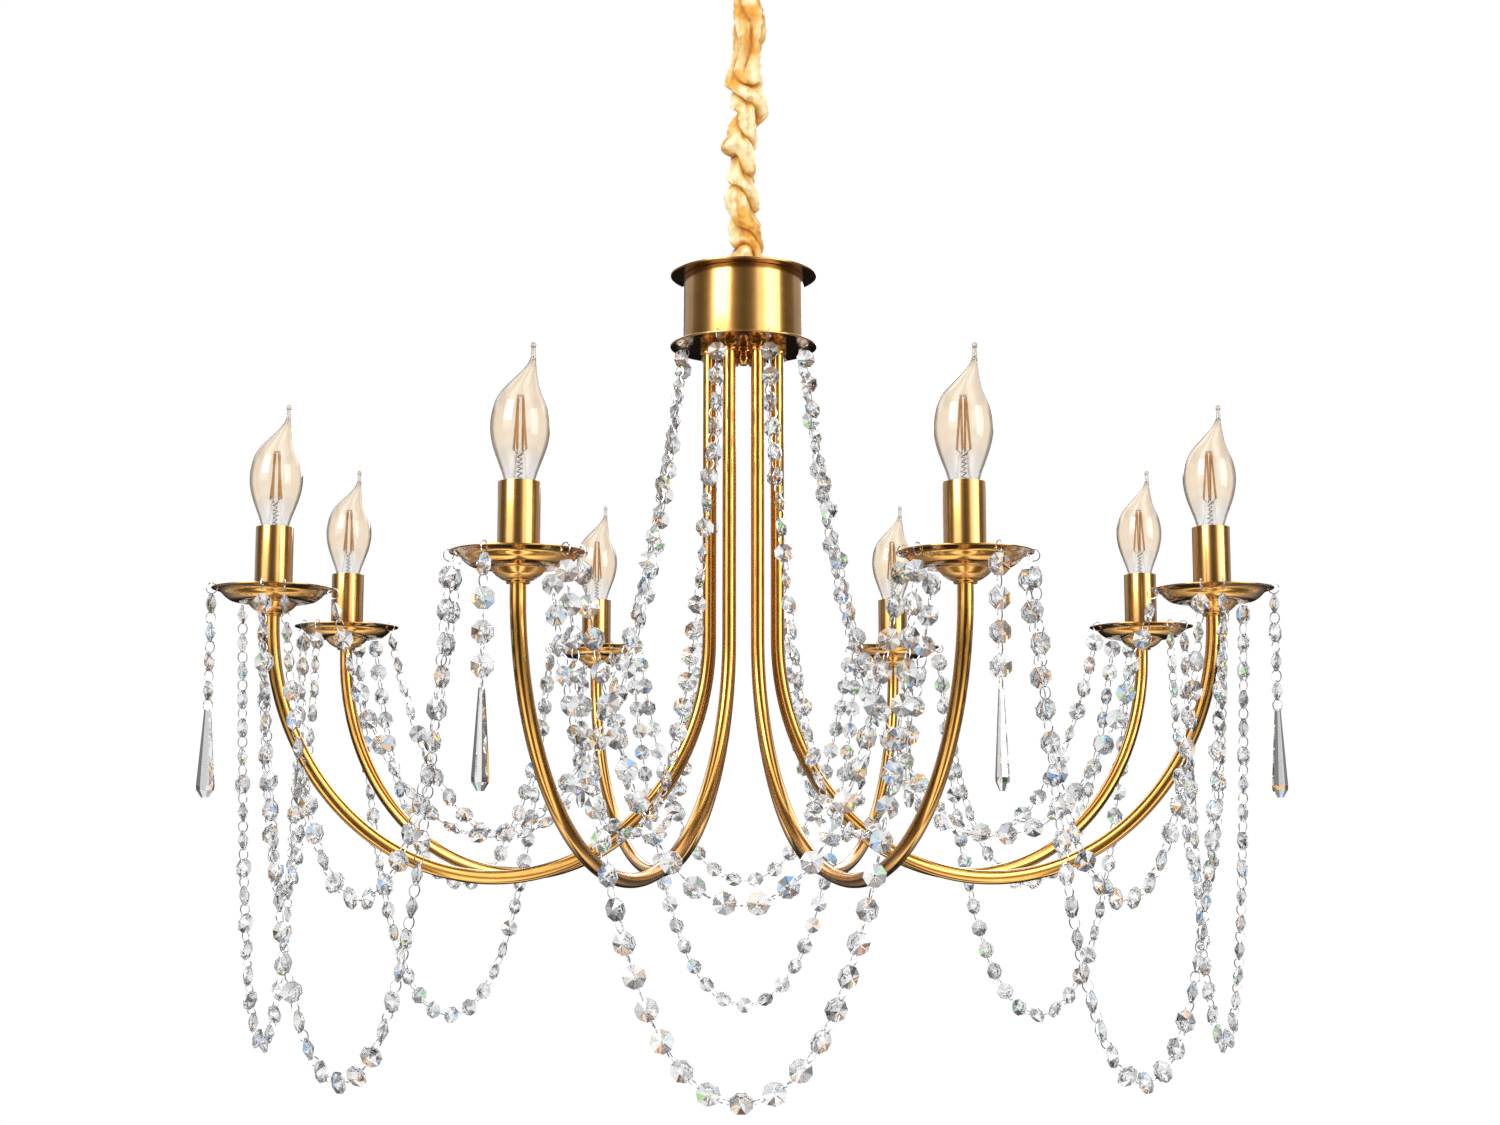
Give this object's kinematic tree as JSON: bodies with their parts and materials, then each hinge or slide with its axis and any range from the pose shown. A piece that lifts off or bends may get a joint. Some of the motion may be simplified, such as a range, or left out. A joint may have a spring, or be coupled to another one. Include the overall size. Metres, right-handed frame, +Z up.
{
  "type": "multi arm chandelier",
  "caption": "Brass candle chandelier: curved arms from a drum hub, drip pans, flame-tip bulbs and crystal bead swags, hung from a ceiling canopy by a silk-sleeved chain.",
  "frame": {"origin": "centre of the mounting bracket's top face, where it meets the ceiling", "axes": "+Z up, the chandelier hangs along -Z; +X lies midway between two arms"},
  "size_m": [0.7448, 0.7448, 0.8505],
  "materials": {
    "antique_brass": "brushed",
    "plated_steel": "satin",
    "crystal": "polished",
    "amber_glass": "polished",
    "silk": "satin",
    "cable_jacket": "matte"
  },
  "bodies": {
    "ceiling_fitting": {"mounting_bracket": "plated_steel", "ceiling_canopy": "antique_brass"},
    "loop": {"canopy_loop": "antique_brass"},
    "fixture": {"suspension_chain": "antique_brass", "supply_cable": "cable_jacket", "fabric_sleeve": "silk", "top_plate": "antique_brass", "drum_shell": "antique_brass", "bottom_plate": "antique_brass", "centre_stem": "plated_steel", "finial": "antique_brass", "hub_strands": "crystal", "arm_1": "antique_brass", "arm_2": "antique_brass", "arm_3": "antique_brass", "arm_4": "antique_brass", "arm_5": "antique_brass", "arm_6": "antique_brass", "arm_7": "antique_brass", "arm_8": "antique_brass", "drip_pan_1": "antique_brass", "drip_pan_2": "antique_brass", "drip_pan_3": "antique_brass", "drip_pan_4": "antique_brass", "drip_pan_5": "antique_brass", "drip_pan_6": "antique_brass", "drip_pan_7": "antique_brass", "drip_pan_8": "antique_brass", "candle_cover_1": "antique_brass", "candle_cover_2": "antique_brass", "candle_cover_3": "antique_brass", "candle_cover_4": "antique_brass", "candle_cover_5": "antique_brass", "candle_cover_6": "antique_brass", "candle_cover_7": "antique_brass", "candle_cover_8": "antique_brass", "swags_1": "crystal", "swags_2": "crystal", "swags_3": "crystal", "swags_4": "crystal", "swags_5": "crystal", "swags_6": "crystal", "swags_7": "crystal", "swags_8": "crystal"},
    "lamp_1": {"bulb_1": "amber_glass"},
    "hanger_1": {"pendant_1": "crystal"},
    "lamp_2": {"bulb_2": "amber_glass"},
    "hanger_2": {"pendant_2": "crystal"},
    "lamp_3": {"bulb_3": "amber_glass"},
    "hanger_3": {"pendant_3": "crystal"},
    "lamp_4": {"bulb_4": "amber_glass"},
    "hanger_4": {"pendant_4": "crystal"},
    "lamp_5": {"bulb_5": "amber_glass"},
    "hanger_5": {"pendant_5": "crystal"},
    "lamp_6": {"bulb_6": "amber_glass"},
    "hanger_6": {"pendant_6": "crystal"},
    "lamp_7": {"bulb_7": "amber_glass"},
    "hanger_7": {"pendant_7": "crystal"},
    "lamp_8": {"bulb_8": "amber_glass"},
    "hanger_8": {"pendant_8": "crystal"}
  },
  "joints": [
    {"name": "fixture_turn", "type": "hinge", "parent": "ceiling_fitting", "child": "loop", "pos_m": [0, 0, -0.038], "axis": [0, 0, 1], "range_deg": [-90, 90]},
    {"name": "fixture_swing", "type": "hinge", "parent": "loop", "child": "fixture", "pos_m": [0, 0, -0.045], "axis": [1, 0, 0], "range_deg": [-12, 12]},
    {"name": "bulb_1_turn", "type": "hinge", "parent": "fixture", "child": "lamp_1", "pos_m": [0.32705, 0.13547, -0.4865], "axis": [0, 0, 1], "range_deg": [0, 350]},
    {"name": "pendant_1_swing", "type": "hinge", "parent": "fixture", "child": "hanger_1", "pos_m": [0.36586, 0.15154, -0.5313], "axis": [0.3827, -0.9239, 0], "range_deg": [-15, 40]},
    {"name": "bulb_2_turn", "type": "hinge", "parent": "fixture", "child": "lamp_2", "pos_m": [0.13547, 0.32705, -0.4865], "axis": [0, 0, 1], "range_deg": [0, 350]},
    {"name": "pendant_2_swing", "type": "hinge", "parent": "fixture", "child": "hanger_2", "pos_m": [0.15154, 0.36586, -0.5313], "axis": [0.9239, -0.3827, 0], "range_deg": [-15, 40]},
    {"name": "bulb_3_turn", "type": "hinge", "parent": "fixture", "child": "lamp_3", "pos_m": [-0.13547, 0.32705, -0.4865], "axis": [0, 0, 1], "range_deg": [0, 350]},
    {"name": "pendant_3_swing", "type": "hinge", "parent": "fixture", "child": "hanger_3", "pos_m": [-0.15154, 0.36586, -0.5313], "axis": [0.9239, 0.3827, 0], "range_deg": [-15, 40]},
    {"name": "bulb_4_turn", "type": "hinge", "parent": "fixture", "child": "lamp_4", "pos_m": [-0.32705, 0.13547, -0.4865], "axis": [0, 0, 1], "range_deg": [0, 350]},
    {"name": "pendant_4_swing", "type": "hinge", "parent": "fixture", "child": "hanger_4", "pos_m": [-0.36586, 0.15154, -0.5313], "axis": [0.3827, 0.9239, 0], "range_deg": [-15, 40]},
    {"name": "bulb_5_turn", "type": "hinge", "parent": "fixture", "child": "lamp_5", "pos_m": [-0.32705, -0.13547, -0.4865], "axis": [0, 0, 1], "range_deg": [0, 350]},
    {"name": "pendant_5_swing", "type": "hinge", "parent": "fixture", "child": "hanger_5", "pos_m": [-0.36586, -0.15154, -0.5313], "axis": [-0.3827, 0.9239, 0], "range_deg": [-15, 40]},
    {"name": "bulb_6_turn", "type": "hinge", "parent": "fixture", "child": "lamp_6", "pos_m": [-0.13547, -0.32705, -0.4865], "axis": [0, 0, 1], "range_deg": [0, 350]},
    {"name": "pendant_6_swing", "type": "hinge", "parent": "fixture", "child": "hanger_6", "pos_m": [-0.15154, -0.36586, -0.5313], "axis": [-0.9239, 0.3827, 0], "range_deg": [-15, 40]},
    {"name": "bulb_7_turn", "type": "hinge", "parent": "fixture", "child": "lamp_7", "pos_m": [0.13547, -0.32705, -0.4865], "axis": [0, 0, 1], "range_deg": [0, 350]},
    {"name": "pendant_7_swing", "type": "hinge", "parent": "fixture", "child": "hanger_7", "pos_m": [0.15154, -0.36586, -0.5313], "axis": [-0.9239, -0.3827, 0], "range_deg": [-15, 40]},
    {"name": "bulb_8_turn", "type": "hinge", "parent": "fixture", "child": "lamp_8", "pos_m": [0.32705, -0.13547, -0.4865], "axis": [0, 0, 1], "range_deg": [0, 350]},
    {"name": "pendant_8_swing", "type": "hinge", "parent": "fixture", "child": "hanger_8", "pos_m": [0.36586, -0.15154, -0.5313], "axis": [-0.3827, -0.9239, 0], "range_deg": [-15, 40]}
  ]
}
